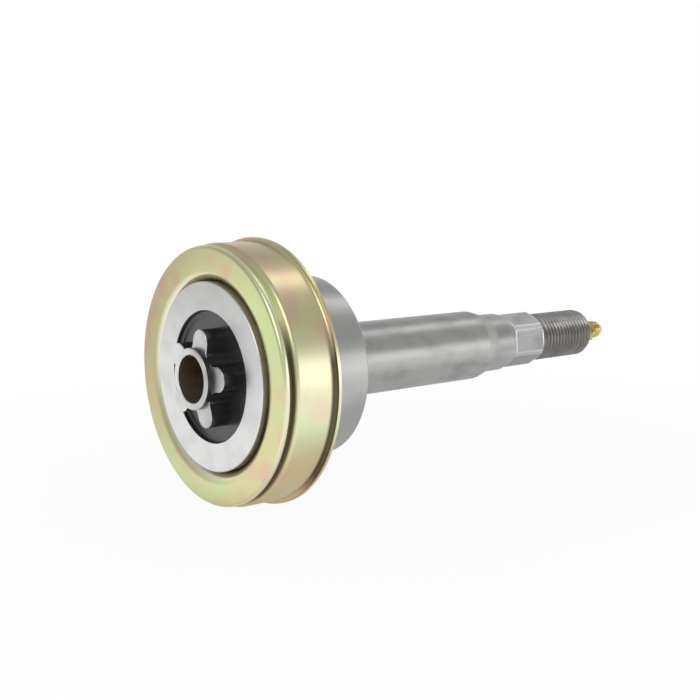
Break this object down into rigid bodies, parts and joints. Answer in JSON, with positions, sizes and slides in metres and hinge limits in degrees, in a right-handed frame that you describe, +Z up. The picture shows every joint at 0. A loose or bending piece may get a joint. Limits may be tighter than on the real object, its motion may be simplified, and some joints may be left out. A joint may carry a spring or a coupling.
{
  "type": "blade bearing shaft",
  "caption": "Mower blade spindle shaft with star-shaped blade drive, yellow zinc dust cap, sealed ball bearing, pulley flats, threaded end and grease nipple",
  "frame": {"origin": "on the shaft axis, at the middle of the bearing's width", "axes": "+X along the shaft from the blade end to the threaded end, +Z up"},
  "size_m": [0.1547, 0.0684, 0.0684],
  "materials": {
    "shaft_steel": "turned",
    "yellow_zinc": "yellow passivated zinc",
    "bearing_steel": "ground",
    "cage_steel": "pressed",
    "seal_rubber": "matte",
    "nipple_zinc": "yellow passivated zinc",
    "ball_steel": "polished"
  },
  "bodies": {
    "outer_race": {"bearing_outer_ring": "bearing_steel", "seal_front": "seal_rubber", "seal_rear": "seal_rubber"},
    "spindle": {"spindle_shaft": "shaft_steel", "dust_cap": "yellow_zinc", "bearing_inner_ring": "bearing_steel", "nipple_body": "nipple_zinc", "nipple_spring": "ball_steel"},
    "ball_set": {"bearing_ball_1": "ball_steel", "bearing_ball_2": "ball_steel", "bearing_ball_3": "ball_steel", "bearing_ball_4": "ball_steel", "bearing_ball_5": "ball_steel", "bearing_ball_6": "ball_steel", "bearing_ball_7": "ball_steel", "bearing_ball_8": "ball_steel", "cage_front": "cage_steel", "cage_rear": "cage_steel", "cage_rivets": "cage_steel"},
    "check_ball": {"nipple_ball": "ball_steel"}
  },
  "joints": [
    {"name": "spindle_spin", "type": "hinge", "parent": "outer_race", "child": "spindle", "pos_m": [0, 0, 0], "axis": [1, 0, 0], "continuous": true},
    {"name": "cage_spin", "type": "hinge", "parent": "outer_race", "child": "ball_set", "pos_m": [0, 0, 0], "axis": [1, 0, 0], "continuous": true},
    {"name": "check_ball_slide", "type": "slide", "parent": "spindle", "child": "check_ball", "axis": [-1, 0, 0], "range_m": [0, 0.001], "stiffness_N_per_m": 400, "deforming": ["nipple_spring"]}
  ],
  "couplings": [
    {"joint": "cage_spin", "follows": "spindle_spin", "ratio": 0.38152}
  ]
}
